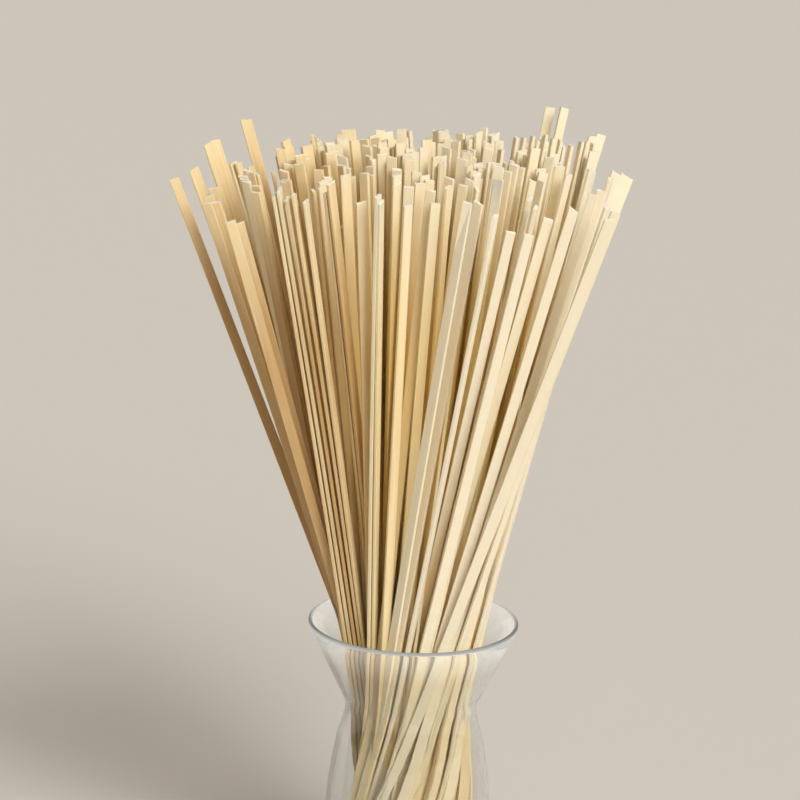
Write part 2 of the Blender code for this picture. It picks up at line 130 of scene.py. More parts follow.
# ---- how each noodle departs from a straight bar: bent and twisted above one height,
# chipped at its tip, and shifted in the glass's body, where the bundle widens and the
# feet of the inner noodles are drawn inward
BEND_START = 100.0 * MM
DECK_BEND = 0.9 * MM
OWN_BEND = 0.35 * MM
OWN_TWIST = math.radians(3.0)
WIDTH_SCATTER = 0.03
DEPTH_SCATTER = 0.06
CHIP = 0.12 * MM
FOOT_RING = 14.5 * MM
WIDENING = 0.24
WIDENING_ARC = math.radians(180)
BOX_MARGIN = 0.05 * MM

# ---- how pale each noodle is: its own tone at random; painted light and shade, more of it
# per metre of its tip's place to the left and to the right of the axis, so the left side is
# painted in shade and the right lit; painted shade in the glass; and a share of the way to the
# palest tone at the tip, painted light
TONE_MIDDLE = 0.44
TONE_SCATTER = 0.16
SIDE_LIGHT_PER_METRE = (13.0, 6.0)
GLASS_SHADE_TONE = -0.2
LEAST_TONE = -0.2
TIP_LIGHT_SHARE = 0.4
TIP_LIGHT_LENGTH = 50.0 * MM

# ---- parting the decks
LEVELS = np.concatenate([
    np.linspace(STAND_HEIGHT, WAIST_HEIGHT, 8),
    np.linspace(WAIST_HEIGHT, RIM_HEIGHT, 9)[1:],
    np.linspace(RIM_HEIGHT, TOP_HEIGHT, 11)[1:],
])
PUSH_ROUNDS = (400, 100)
PUSH_STEP = 1.6
SHOWN_EASE = 0.2
SHOWN_CROWDING = 0.2
GLASS_CLEARANCE = 0.35 * MM
ALLOWED_OVERLAP = 0.3 * MM

# ---- single noodles that fill the gaps
FILL_TRIES = 12000
FILL_COUNT = 110
FILL_REACH = 17.4 * MM
FILL_SPREAD = (0.4, 1.0)
FILL_SCATTER = 0.03
FILL_OVERLAP = 0.1 * MM
FILL_TESTED = 90 * MM
TESTED_WIDTH = 1.02 * NOODLE_WIDTH
TESTED_THICKNESS = 1.05 * NOODLE_THICKNESS

# Decks that show at the front, left and right of the fan, in millimetres: where the
# deck passes the rim's level, where it passes the top's level, the turn of its wide
# side from X in degrees, how many noodles it has, how far each stands out beside the
# one before at the top's level, how far the deck stands above the floor (less than
# nothing: how much shorter it is), and whether it passes the waist inside the bundle,
# where nothing shows.
SHOWN_DECKS = (
    ((-21.5, -3), (-79, 9), 8, 1, 0, -1, True),
    ((-18, 0.5), (-72.5, 21.5), 12, 1, 0, 0, True),
    ((-15, 8), (-67, 45), 18, 2, 2, 7, True),
    ((-19, -1), (-63.5, -8), -6, 2, 2, -8, True),
    ((-18, -8), (-63, -36), -12, 2, 2.8, -4, True),
    ((-18, -12), (-53, -53), 4, 2, 3, -4, True),
    ((-11, 12), (-54.5, 49), 10, 2, 1, 8, True),
    ((-19, -13), (-40, -55), 80, 4, 0, 2, False),
    ((-16, -16), (-34, -57), 75, 2, 0, -2, False),
    ((-13, -14.5), (-27, -49), 55, 2, 0, -1, False),
    ((-12, -18.5), (-14, -54), 72, 2, 0, -4, False),
    ((-8.3, -19.5), (-6, -50), 35, 2, 1, -6, False),
    ((-5, -19), (1, -48), 20, 2, 3, -9, False),
    ((-1, -19.5), (12, -45), 15, 1, 0, -6, False),
    ((-1, -17), (22, -53), 10, 2, 2, -8, False),
    ((4, -16), (36, -44), 5, 2, 3, -6, False),
    ((9, -19), (43, -47), 5, 2, 2.8, -4, False),
    ((8, -22), (53.5, -50), 3, 2, 2.5, -1, False),
    ((9.5, -9), (56.5, 2), 6, 3, 3, 2, True),
    ((14.6, -2), (37, 4), 102, 12, 0, 0, False),
    ((10, 8), (35, 24), 4, 1, 0, 8, True),
    ((12, 6), (49, 24), 14, 2, 3, 5, True),
    ((12, 10), (38, 19), 24, 1, 0, 6, True),
)

# ---- the core under the noodles, painted in the dark tone of noodles in shade, and the inner noodles that leave it
CORE_SHARE = 0.81
CORE_SHOULDER = 76.0 * MM
CORE_TOP = 98.0 * MM
CORE_BEVEL = 3.0 * MM
CORE_STEPS = 40
SIDE_STEPS = 16
DOME_STEPS = 8
CORE_SHADE_TONE = 0.2
INNER_START = WAIST_HEIGHT
INNER_TESTED = 106.0 * MM

# ---- the dough's colours, and at which tones the first three of them stand; the dark end is
# also painted shade, the pale end painted light, the cut colour painted light from above, and
# the gold painted light bounced between the noodles
DARK_AND_SHADED_DOUGH = (0.60, 0.41, 0.19)
DOUGH = (0.84, 0.71, 0.45)
PALE_AND_LIT_DOUGH = (0.88, 0.81, 0.65)
LIT_CUT_DOUGH = (0.90, 0.86, 0.75)
PAINTED_BOUNCE_GOLD = (0.97, 0.70, 0.25)
DARK_TONE = 0.1
MIDDLE_TONE = 0.5
PALE_TONE = 0.9

# ---- painted gold that stands for light bounced between the noodles: how deep in the bundle, as
# shares of its radius, and how far below the tips the dough turns to it, and its share in the
# glass
BOUNCE_GOLD_FROM = 0.04
BOUNCE_GOLD_TO = 0.32
BOUNCE_GOLD_BELOW = 60.0 * MM
BOUNCE_GOLD_IN_GLASS = 0.18

# ---- the dough's faint streaks, its gloss, and how light scatters in it
STREAK_SCALE = (900.0, 900.0, 45.0)
STREAK_DETAIL = 3.0
STREAK_TONE = 0.4
STREAK_STEP = 0.37
STREAK_BUMP = 0.25
STREAK_HEIGHT = 0.05 * MM
DOUGH_ROUGHNESS = 0.5
DOUGH_IOR = 1.4
SCATTER_WEIGHT = 0.5
SCATTER_RADIUS = (1.0, 0.75, 0.5)
SCATTER_DEPTH = 1.2 * MM

# ---- the glass, and its faint glow, which stands for the light that a real wall guides
# to its rim in a bright room: its strength up to a height, and from another height up
GLASS_TINT = (0.93, 0.94, 0.93, 1.0)
GLASS_IOR = 1.5
GLASS_GLOW = (1.0, 1.0, 0.95, 1.0)
WALL_GLOW = (0.008, 80.0 * MM)
RIM_GLOW = (0.10, 90.0 * MM)

# ---- the lamps: name, the way towards it, strength, softness and colour
LAMPS = (
    ("key", (0.55, -0.80, 0.74), 2.95, math.radians(35), (1.0, 0.97, 0.92)),
    ("front", (0.3, -1.0, 0.25), 0.5, math.radians(60), (1.0, 0.86, 0.66)),
    ("back", (-0.3, 1.0, 0.5), 0.8, math.radians(60), (1.0, 0.93, 0.84)),
)
SKY_COLOR = (1.0, 0.84, 0.62, 1.0)
SKY_STRENGTH = 0.2

# ---- camera and stage
SENSOR_WIDTH = 36.0
CAMERA_LENS = 150.0
CAMERA_DISTANCE = 1.0
CAMERA_PITCH = math.radians(14.8)
CAMERA_ROLL = math.radians(1.8)
CAMERA_AIM = (-6.2 * MM, 0.0, 161.4 * MM)
FLOOR_SIZE = 12.0
FLOOR_COLOR = (0.68, 0.67, 0.65, 1.0)
FLOOR_ROUGHNESS = 0.9


# ------------------------------------------------------------------ glass

def hermite(start, end, count):
    """Points on a smooth curve between two (radius, height, slope) stations."""
    radius_0, height_0, slope_0 = start
    radius_1, height_1, slope_1 = end
    rise = height_1 - height_0
    points = []
    for k in range(count):
        t = k / count
        radius = (
            (2 * t**3 - 3 * t**2 + 1) * radius_0
            + (t**3 - 2 * t**2 + t) * rise * slope_0
            + (3 * t**2 - 2 * t**3) * radius_1
            + (t**3 - t**2) * rise * slope_1
        )
        points.append((radius, height_0 + rise * t))
    return points


def outer_wall(fine=1):
    """The glass's outer face from the foot's edge up to the lip."""
    flare_slope = (RIM_RADIUS - FLARE_RADIUS) / (RIM_HEIGHT - FLARE_HEIGHT)
    stations = (
        (BODY_RADIUS, BODY_HEIGHT, 0.0),
        (SHOULDER_RADIUS, SHOULDER_HEIGHT, SHOULDER_SLOPE),
        (WAIST_RADIUS, WAIST_HEIGHT, 0.0),
        (FLARE_RADIUS, FLARE_HEIGHT, flare_slope),
        (RIM_RADIUS, RIM_HEIGHT - WALL / 2, flare_slope),
    )
    points = []
    corner_steps = CORNER_STEPS * fine
    for k in range(corner_steps):
        angle = 0.5 * math.pi * k / corner_steps
        radius = FOOT_RADIUS + (BODY_RADIUS - FOOT_RADIUS) * math.sin(angle)
        points.append((radius, BODY_HEIGHT * (1 - math.cos(angle))))
    for start, end, count in zip(stations, stations[1:], WALL_STEPS):
        points += hermite(start, end, count * fine)
    points.append(stations[-1][:2])
    return points


def inner_wall(outer):
    """The outer face moved inward by the wall, from the floor's edge upward."""
    points = []
    for k in range(1, len(outer)):
        here = outer[k]
        after = outer[min(k + 1, len(outer) - 1)]
        along = (Vector(after) - Vector(outer[k - 1])).normalized()
        radius = here[0] - WALL * along.y
        height = here[1] + WALL * along.x
        if height > BASE_THICKNESS + FLOOR_CORNER:
            points.append((radius, height))
    return [(points[0][0] - FLOOR_CORNER, BASE_THICKNESS)] + points


def lip(outer, inner):
    """A half circle from the inner wall over the rim to the outer wall."""
    start = Vector(inner[-1])
    end = Vector(outer[-1])
    centre = (start + end) / 2
    reach = (end - start) / 2
    upward = Vector((-reach.y, reach.x))
    points = []
    for k in range(LIP_STEPS + 1):
        angle = math.pi * k / LIP_STEPS
        point = centre - reach * math.cos(angle) + upward * math.sin(angle)
        points.append((point.x, point.y))
    return points


def make_glass(material):
    """The tumbler, turned finely about Z."""
    outer = outer_wall(FINE)
    inner = inner_wall(outer)
    profile = [(0.0, BASE_THICKNESS)] + inner[:-1]
    profile += lip(outer, inner) + outer[-2::-1] + [(0.0, 0.0)]
    mesh = bpy.data.meshes.new("tumbler")
    edges = [(k, k + 1) for k in range(len(profile) - 1)]
    mesh.from_pydata([(radius, 0.0, height) for radius, height in profile], edges, [])
    glass = add_piece("tumbler", mesh, material)
    screw = glass.modifiers.new("Turn", "SCREW")
    screw.angle = 2 * math.pi
    screw.steps = GLASS_STEPS
    screw.render_steps = GLASS_STEPS
    screw.use_merge_vertices = True
    screw.merge_threshold = MERGE_GAP
    screw.use_smooth_shade = True
    glass.visible_shadow = False
    return glass


# ------------------------------------------------------------------ laying out the decks

def bundle_opening(height):
    """How much the bundle has opened and turned at a height, as a complex factor."""
    return 1 + complex(SPREAD, TWIST) * (height - WAIST_HEIGHT)


def common_slope(waist):
    """The lean of a noodle that opens and turns with the bundle from its spot."""
    slope = complex(SPREAD, TWIST) * waist
    return complex(slope.real, FLATTENED * slope.imag) + BUNDLE_LEAN


def core_radius(height):
    """The core's radius at a height below its shoulder."""
    return CORE_SHARE * BUNDLE_RADIUS * abs(bundle_opening(height))


def even_spots(rng, count, ring, taken):
    """Places spread evenly in a ring, away from those already taken."""
    spots = list(taken)
    for _ in range(count):
        angles = rng.uniform(0, 2 * math.pi, SPOT_TRIES)
        radii = np.sqrt(rng.uniform(ring[0] ** 2, ring[1] ** 2, SPOT_TRIES))
        places = radii * np.exp(1j * angles)
        gaps = np.min(abs(places[:, None] - np.array(spots)[None, :]), axis=1)
        spots.append(places[int(np.argmax(gaps))])
    return spots[len(taken):]


def shown_deck(row):
    """One deck of the list of those that show."""
    rim, top, turn, count, fan, lift, inner = row
    at_rim = complex(*rim) * MM
    slope = (complex(*top) * MM - at_rim) / (TOP_HEIGHT - RIM_HEIGHT)
    return {
        "waist": at_rim + slope * (WAIST_HEIGHT - RIM_HEIGHT),
        "slope": slope,
        "turn": math.radians(turn),
        "count": count,
        "fan": fan * MM,
        "lift": lift * MM,
        "inner": inner,
        "shown": True,
    }


def ruled_deck(rng, waist, inner):
    """One deck that follows the bundle's common spread and twist."""
    return {
        "waist": waist,
        "slope": common_slope(waist) + complex(*rng.normal(0, LEAN_SCATTER, 2)),
        "turn": rng.normal(0, TURN_SCATTER),
        "count": int(rng.choice(DECK_SIZES)),
        "fan": rng.uniform(-DECK_FAN, DECK_FAN),
        "lift": RULED_LIFT,
        "inner": inner,
        "shown": False,
    }


def lay_out_decks(rng):
    """All decks: the shown ones, then an outer ring and the inside."""
    decks = [shown_deck(row) for row in SHOWN_DECKS]
    taken = [deck["waist"] for deck in decks]
    for waist in even_spots(rng, OUTER_DECKS, OUTER_RING, taken):
        decks.append(ruled_deck(rng, waist, inner=False))
    taken = [deck["waist"] for deck in decks]
    for waist in even_spots(rng, INNER_DECKS, (0.0, INNER_RADIUS), taken):
        decks.append(ruled_deck(rng, waist, inner=True))
    return decks


def stack_noodles(rng, decks):
    """The noodles of every deck, side by side, with their places in it."""
    noodles = []
    for number, deck in enumerate(decks):
        sideways = np.exp(1j * deck["turn"])
        across = 1j * sideways
        opening = rng.uniform(*DECK_OPENING)
        count = deck["count"]
        places = np.arange(count) - (count - 1) / 2
        low = places * DECK_PITCH
        pitches = rng.uniform(*DECK_PITCH_SCATTER, count) * NOODLE_THICKNESS
        spread = np.cumsum(pitches) * (opening - 1)
        high = low + spread - spread.mean()
        slip = rng.normal(0, DECK_SLIP, count)
        fan = places * deck["fan"]
        for k in range(count):
            noodles.append({
                "deck": number,
                "turn": deck["turn"],
                "low": low[k] * across + (slip[k] + FAN_START * fan[k]) * sideways,
                "high": high[k] * across + (2 * slip[k] + fan[k]) * sideways,
                "lift": deck["lift"],
                "inner": deck["inner"],
                "shown": deck["shown"],
            })
    return noodles


# ------------------------------------------------------------------ pushing decks apart

def overlap(gap, side_1, side_2):
    """How deep noodle sections run into each other, and the push that parts them."""
    least = np.full(gap.shape, np.inf)
    push = np.zeros(gap.shape, complex)
    for axis in (side_1, 1j * side_1, side_2, 1j * side_2):
        reach = 0.0
        for side in (side_1, side_2):
            turned = side * axis.conj()
            reach = reach + TESTED_WIDTH / 2 * abs(turned.real)
            reach = reach + TESTED_THICKNESS / 2 * abs(turned.imag)
        along = (gap * axis.conj()).real
        depth = reach - abs(along)
        smaller = depth < least
        least = np.where(smaller, depth, least)
        push = np.where(smaller, axis * np.where(along < 0, -1, 1) * depth, push)
    return least, push


def overlapping_pairs(centres, turns, usable):
    """Pairs of noodles whose sections overlap at one level, and how to part them."""
    between = centres[None, :] - centres[:, None]
    near = abs(between) < math.hypot(TESTED_WIDTH, TESTED_THICKNESS)
    first, second = np.nonzero(np.triu(near & usable[:, None] & usable[None, :], 1))
    sides = np.exp(1j * turns)
    depth, push = overlap(between[first, second], sides[first], sides[second])
    hit = depth > 0
    return first[hit], second[hit], push[hit]


class Bundle:
    """Noodles in decks, each deck a straight line from the floor's level to the top's."""

    def __init__(self, decks, noodles, wall):
        self.member = np.array([noodle["deck"] for noodle in noodles])
        self.turns = np.array([noodle["turn"] for noodle in noodles])
        self.low = np.array([noodle["low"] for noodle in noodles])
        self.high = np.array([noodle["high"] for noodle in noodles])
        self.inner = np.array([noodle["inner"] for noodle in noodles])
        self.shown = np.array([noodle["shown"] for noodle in noodles])
        self.kept = np.ones(len(noodles), bool)
        self.ease = np.array([SHOWN_EASE if deck["shown"] else 1.0 for deck in decks])
        waist = np.array([deck["waist"] for deck in decks])
        slope = np.array([deck["slope"] for deck in decks])
        self.foot = waist + slope * (STAND_HEIGHT - WAIST_HEIGHT)
        self.top = waist + slope * (TOP_HEIGHT - WAIST_HEIGHT)
        self.wall_radii = [point[0] for point in wall]
        self.wall_heights = [point[1] for point in wall]

    def centres(self, height):
        """Where every noodle's centre line passes a level."""
        share = (height - STAND_HEIGHT) / (TOP_HEIGHT - STAND_HEIGHT)
        at_foot = self.foot[self.member] + self.low
        at_top = self.top[self.member] + self.high
        return (1 - share) * at_foot + share * at_top

    def crossings(self, height):
        """Noodles of unlike decks that overlap at a level, and how to part them."""
        usable = self.kept & (~self.inner | (height > INNER_TESTED))
        first, second, push = overlapping_pairs(self.centres(height), self.turns, usable)
        apart = self.member[first] != self.member[second]
        return first[apart], second[apart], push[apart]

    def room(self, height):
        """How far from the axis each noodle may reach at a level."""
        wall = np.interp(height, self.wall_heights, self.wall_radii) - GLASS_CLEARANCE
        inner_room = wall
        if height < INNER_START or height > RIM_HEIGHT:
            inner_room = np.inf
        if height == INNER_START:
            inner_room = core_radius(height)
        outer_room = np.inf if height > RIM_HEIGHT else wall
        return np.where(self.inner, inner_room, outer_room)

    def wall_contacts(self, height):
        """Noodles that reach past the room they have, and the way back inside."""
        room = self.room(height)
        half = complex(NOODLE_WIDTH, NOODLE_THICKNESS) / 2
        contacts = []
        for corner in (half, half.conjugate(), -half, -half.conjugate()):
            place = self.centres(height) + corner * np.exp(1j * self.turns)
            beyond = np.maximum(abs(place) - room, 0) * self.kept
            rows = np.nonzero(beyond)[0]
            contacts.append((rows, -place[rows] / abs(place[rows]) * beyond[rows]))
        return contacts

    def push_apart(self, rounds):
        """Shift and tilt whole decks until nothing overlaps, or the rounds are over."""
        for _ in range(rounds):
            foot_move = np.zeros(len(self.foot), complex)
            top_move = np.zeros(len(self.foot), complex)
            hits = np.zeros(len(self.foot))
            for height in LEVELS:
                share = (height - STAND_HEIGHT) / (TOP_HEIGHT - STAND_HEIGHT)
                weight = (1 - share) ** 2 + share**2
                first, second, push = self.crossings(height)
                moves = [(first, -push / 2), (second, push / 2)]
                for rows, move in moves + self.wall_contacts(height):
                    deck = self.member[rows]
                    np.add.at(foot_move, deck, move * (1 - share) / weight)
                    np.add.at(top_move, deck, move * share / weight)
                    np.add.at(hits, deck, 1)
            step = PUSH_STEP / np.maximum(hits, 1) * self.ease
            self.foot += foot_move * step
            self.top += top_move * step

    def drop_crowded(self):
        """Leave out, worst first, each noodle that still runs through something."""
        pairs = []
        for height in LEVELS:
            first, second, push = self.crossings(height)
            deep = abs(push) > ALLOWED_OVERLAP
            pairs += zip(first[deep], second[deep], abs(push[deep]))
            for rows, move in self.wall_contacts(height):
                outside = rows[abs(move) > GLASS_CLEARANCE]
                self.kept[outside] = False
        while pairs:
            crowding = np.zeros(len(self.kept))
            for first, second, depth in pairs:
                crowding[first] += depth
                crowding[second] += depth
            crowding[self.shown] *= SHOWN_CROWDING
            worst = int(np.argmax(crowding))
            self.kept[worst] = False
            pairs = [pair for pair in pairs if worst not in pair[:2]]


def cut_to_length(rng, noodle, start, lean):
    """A noodle's turn, its two ends on the line that it follows, and its cut's slope."""
    raised = rng.random() < RAISED_SHARE and not noodle["shown"]
    broken = rng.random() < BROKEN_SHARE and not noodle["shown"]
    lift = max(noodle["lift"], 0.0) + rng.uniform(*(RAISED if raised else STANDING))
    length = NOODLE_LENGTH + min(noodle["lift"], 0.0)
    length -= rng.uniform(*(BROKEN_OFF if broken else TRIMMED_OFF))
    rise = length / math.sqrt(1 + abs(lean) ** 2)
    return {
        "start": (start + lean * lift, STAND_HEIGHT + lift),
        "end": (start + lean * (lift + rise), STAND_HEIGHT + lift + rise),
        "turn": noodle["turn"],
        "inner": noodle["inner"],
        "cut": rng.normal(0, BROKEN_SLOPE if broken else CUT_SLOPE),
    }


def deck_noodles(rng, bundle, noodles):
    """The noodles of the decks, without those that found no room."""
    starts = bundle.centres(STAND_HEIGHT)
    leans = (bundle.centres(TOP_HEIGHT) - starts) / (TOP_HEIGHT - STAND_HEIGHT)
    placed = []
    for noodle, start, lean, kept in zip(noodles, starts, leans, bundle.kept):
        cut = cut_to_length(rng, noodle, start, lean)
        if kept:
            placed.append(cut)
    return placed


def furthest_corner(line, side):
    """How far from the axis a noodle reaches at each level."""
    half = complex(NOODLE_WIDTH, NOODLE_THICKNESS) / 2
    corners = [half, half.conjugate(), -half, -half.conjugate()]
    return np.max([abs(line + corner * side) for corner in corners], axis=0)


def filling_noodles(rng, bundle):
    """Single noodles slipped into the room that the decks leave."""
    places = np.array([bundle.centres(height) for height in LEVELS])[:, bundle.kept]
    rooms = np.array([bundle.room(height)[~bundle.inner][0] for height in LEVELS])
    sides = np.exp(1j * bundle.turns[bundle.kept])
    above = LEVELS > FILL_TESTED
    placed = []
    for _ in range(FILL_TRIES):
        radius = math.sqrt(rng.uniform(0, FILL_REACH**2))
        waist = radius * np.exp(1j * rng.uniform(0, 2 * math.pi))
        slope = common_slope(waist * rng.uniform(*FILL_SPREAD))
        slope += complex(*rng.normal(0, FILL_SCATTER, 2))
        turn = rng.uniform(0, math.pi)
        side = np.exp(1j * turn)
        line = waist + slope * (LEVELS - WAIST_HEIGHT)
        depth, _ = overlap(places - line[:, None], np.full(places.shape, side), sides[None, :])
        blocked = np.any(depth[above] > FILL_OVERLAP)
        if blocked or np.any(furthest_corner(line, side) > rooms):
            continue
        noodle = {"turn": turn, "lift": RULED_LIFT, "inner": False, "shown": False}
        start = waist + slope * (STAND_HEIGHT - WAIST_HEIGHT)
        placed.append(cut_to_length(rng, noodle, start, slope))
        places = np.column_stack([places, line])
        sides = np.append(sides, side)
        if len(placed) == FILL_COUNT:
            break
    return placed


def arranged_noodles(wall):
    """Every noodle of the bundle."""
    rng = np.random.default_rng(SEED)
    decks = lay_out_decks(rng)
    noodles = stack_noodles(rng, decks)
    bundle = Bundle(decks, noodles, wall)
    for rounds in PUSH_ROUNDS:
        bundle.push_apart(rounds)
        bundle.drop_crowded()
    return deck_noodles(rng, bundle, noodles) + filling_noodles(rng, bundle)


# ------------------------------------------------------------------ the real noodles

def level_point(end):
    """The (complex place, height) pair as a vector."""
    place, height = end
    return Vector((place.real, place.imag, height))


def section():
    """One noodle's cross-section: a flat bar with its long edges rounded."""
    half_width = NOODLE_WIDTH / 2
    half_depth = NOODLE_THICKNESS / 2
    return [
        (half_width - EDGE_ROUND, -half_depth),
        (half_width, EDGE_ROUND - half_depth),
        (half_width, half_depth - EDGE_ROUND),
        (half_width - EDGE_ROUND, half_depth),
        (EDGE_ROUND - half_width, half_depth),
        (-half_width, half_depth - EDGE_ROUND),
        (-half_width, EDGE_ROUND - half_depth),
        (EDGE_ROUND - half_width, -half_depth),
    ]


def widening(height):
    """How much wider the bundle is in the glass's body, between its waist and its foot."""
    below = max(WAIST_HEIGHT - height, 0.0) / (WAIST_HEIGHT - STAND_HEIGHT)
    return 1 + WIDENING * math.sin(WIDENING_ARC * below)


def centre_line(start, axis, inner):
    """Where a noodle's middle passes each station, from its foot to its cut end."""
    waist = start + axis * ((INNER_START - start.z) / axis.z)
    foot = complex(start.x, start.y)
    tucked = foot * min(1.0, FOOT_RING / abs(foot))
    shift = Vector((tucked.real - foot.real, tucked.imag - foot.imag, 0.0))

    def place(s):
        point = start + axis * s
        below = max(waist.z - point.z, 0.0) / (waist.z - start.z)
        if inner:
            return point + shift * below**2
        wider = widening(point.z)
        return Vector((point.x * wider, point.y * wider, point.z))

    return place


def kept_in_box(corner):
    """The corner, moved just inside the box of the two solids if it lies beyond."""
    low, high = CAD_BOX
    return Vector([
        min(max(value, least + BOX_MARGIN), most - BOX_MARGIN)
        for value, least, most in zip(corner, low, high)
    ])


def noodle_shape(noodle, rng):
    """The corners of one noodle, ring by ring, and where each lies on it."""
    start = level_point(noodle["start"])
    end = level_point(noodle["end"])
    axis = (end - start).normalized()
    length = (end - start).length
    width = Vector((math.cos(noodle["turn"]), math.sin(noodle["turn"]), 0.0))
    width = (width - axis * width.dot(axis)).normalized()
    depth = axis.cross(width)
    bend = noodle["bend"] + rng.normal(0, OWN_BEND)
    twist = rng.normal(0, OWN_TWIST)
    wider = 1 + rng.normal(0, WIDTH_SCATTER)
    deeper = 1 + rng.normal(0, DEPTH_SCATTER)
    place = centre_line(start, axis, noodle["inner"])
    stations = np.concatenate([
        np.linspace(0.0, IN_GLASS_LENGTH, IN_GLASS_RINGS),
        np.linspace(IN_GLASS_LENGTH, length, RINGS)[1:],
    ])
    corners = []
    lay = []
    # The last ring comes twice, so that the cut face keeps a colour of its own: a paler one,
    # painted light from above.
    for s in list(stations) + [length]:
        middle = place(s)
        free = max(middle.z - BEND_START, 0.0) / (TOP_HEIGHT - BEND_START)
        middle = middle + depth * (bend * free**2)
        turn = twist * free
        side = width * math.cos(turn) + depth * math.sin(turn)
        face = depth * math.cos(turn) - width * math.sin(turn)
        for x, y in section():
            corner = middle + side * (x * wider) + face * (y * deeper)
            if s == length:
                corner += axis * (noodle["cut"] * x)
            corners.append(corner)
            lay.append((x, y, s))
    # Each corner of the cut end is chipped or stands out a little, in both last rings.
    chips = rng.normal(0, CHIP, len(section()))
    for k, chip in enumerate(chips):
        corners[k - 2 * len(chips)] += axis * chip
        corners[k - len(chips)] += axis * chip
    return [kept_in_box(corner) for corner in corners], lay


def bounce_gold_share(corner, below_tip):
    """The share of painted gold at a corner, standing for light bounced between the noodles:
    from 0 at the bundle's face or tips to 1 deep in it.

    Below the rim it is the same everywhere.
    """
    if corner.z < RIM_HEIGHT:
        return BOUNCE_GOLD_IN_GLASS
    edge = BUNDLE_RADIUS * abs(bundle_opening(corner.z))
    inward = 1 - math.hypot(corner.x, corner.y) / edge
    share = (inward - BOUNCE_GOLD_FROM) / (BOUNCE_GOLD_TO - BOUNCE_GOLD_FROM)
    return min(max(share, 0.0), 1.0) * min(below_tip / BOUNCE_GOLD_BELOW, 1.0)


def shaded(tone_and_side_light, corner, below_tip):
    """A noodle's tone at a corner: painted shade in the glass and painted light at its tip."""
    # Painted shade: the noodles in the glass are made darker, standing for the glass's shadow.
    tone = tone_and_side_light + GLASS_SHADE_TONE if corner.z < RIM_HEIGHT else tone_and_side_light
    tone = min(max(tone, LEAST_TONE), 1.0)
    # Painted light: the tone is lifted towards the palest near the tip.
    return tone + (1 - tone) * TIP_LIGHT_SHARE * max(1 - below_tip / TIP_LIGHT_LENGTH, 0.0)


def add_ring_faces(faces, first, rings, sides):
    """The side faces of a bar of rings, without its two ends."""
    for ring in range(rings - 1):
        low = first + ring * sides
        for k in range(sides):
            after = (k + 1) % sides
            faces.append((low + k, low + after, low + sides + after, low + sides + k))


def core_profile():
    """The core's outline from its flat underside up to its dome's tip."""
    points = [(core_radius(STAND_HEIGHT) - CORE_BEVEL, STAND_HEIGHT)]
    for height in np.linspace(STAND_HEIGHT + CORE_BEVEL, CORE_SHOULDER, SIDE_STEPS):
        points.append((core_radius(height), height))
    for k in range(1, DOME_STEPS):
        angle = 0.5 * math.pi * k / DOME_STEPS
        rise = (CORE_TOP - CORE_SHOULDER) * math.sin(angle)
        points.append((core_radius(CORE_SHOULDER) * math.cos(angle), CORE_SHOULDER + rise))
    return points


def core_shape():
    """The corners of the core under the noodles, ring by ring."""
    corners = []
    for radius, height in core_profile():
        radius *= widening(height)
        for k in range(CORE_STEPS):
            angle = 2 * math.pi * k / CORE_STEPS
            corners.append(Vector((radius * math.cos(angle), radius * math.sin(angle), height)))
    return corners


def make_noodles(wall, material):
    """Every noodle of the bundle and the core under them, joined in one mesh."""
    rng = np.random.default_rng(SEED + 1)
    corners = core_shape()
    faces = []
    add_ring_faces(faces, 0, len(core_profile()), CORE_STEPS)
    faces.append(tuple(reversed(range(CORE_STEPS))))
    faces.append(tuple(range(len(corners) - CORE_STEPS, len(corners))))
    lay = [tuple(corner) for corner in corners]
    # The core is painted in the dark tone of noodles in shade, with the painted gold of bounced
    # light that the noodles in the glass have.
    tone = [CORE_SHADE_TONE] * len(corners)
    cut = [0.0] * len(corners)
    deep = [BOUNCE_GOLD_IN_GLASS] * len(corners)
    sides = len(section())
    bends = {}
    for number, noodle in enumerate(arranged_noodles(wall)):
        # The noodles of one deck share a turn, and so one bend.
        noodle["bend"] = bends.setdefault(round(noodle["turn"], 6), rng.normal(0, DECK_BEND))
        ring_corners, ring_lay = noodle_shape(noodle, rng)
        first = len(corners)
        rings = len(ring_corners) // sides - 1
        corners += ring_corners
        lay += [(x, y, s + STREAK_STEP * number) for x, y, s in ring_lay]
        tone_and_side_light = rng.normal(TONE_MIDDLE, TONE_SCATTER)
        # Painted light and shade: the tone falls towards the left and rises towards the right
        # with the tip's place beside the axis.
        sideways = noodle["end"][0].real
        tone_and_side_light += sideways * SIDE_LIGHT_PER_METRE[sideways > 0]
        # The cut ends are flagged for their paler colour, painted light from above.
        cut += [0.0] * (rings * sides) + [1.0] * sides
        length = ring_lay[-1][2]
        for corner, place in zip(ring_corners, ring_lay):
            below_tip = length - place[2]
            tone.append(shaded(tone_and_side_light, corner, below_tip))
            # The share of painted gold, standing for light bounced between the noodles.
            deep.append(bounce_gold_share(corner, below_tip))
        add_ring_faces(faces, first, rings, sides)
        faces.append(tuple(first + k for k in reversed(range(sides))))
        faces.append(tuple(first + rings * sides + k for k in range(sides)))
    mesh = bpy.data.meshes.new("dried_noodles")
    mesh.from_pydata(corners, [], faces)
    # The tone carries the noodle's own random tone with painted side light, painted shade in
    # the glass and painted light at the tip.
    mesh.attributes.new("tone", "FLOAT", "POINT").data.foreach_set("value", tone)
    mesh.attributes.new("cut", "FLOAT", "POINT").data.foreach_set("value", cut)
    # The deep attribute holds the share of painted gold that stands for bounced light.
    mesh.attributes.new("deep", "FLOAT", "POINT").data.foreach_set("value", deep)
    flat = [value for place in lay for value in place]
    mesh.attributes.new("lay", "FLOAT_VECTOR", "POINT").data.foreach_set("vector", flat)
    return add_piece("dried_noodles", mesh, material)


# ------------------------------------------------------------------ finishes

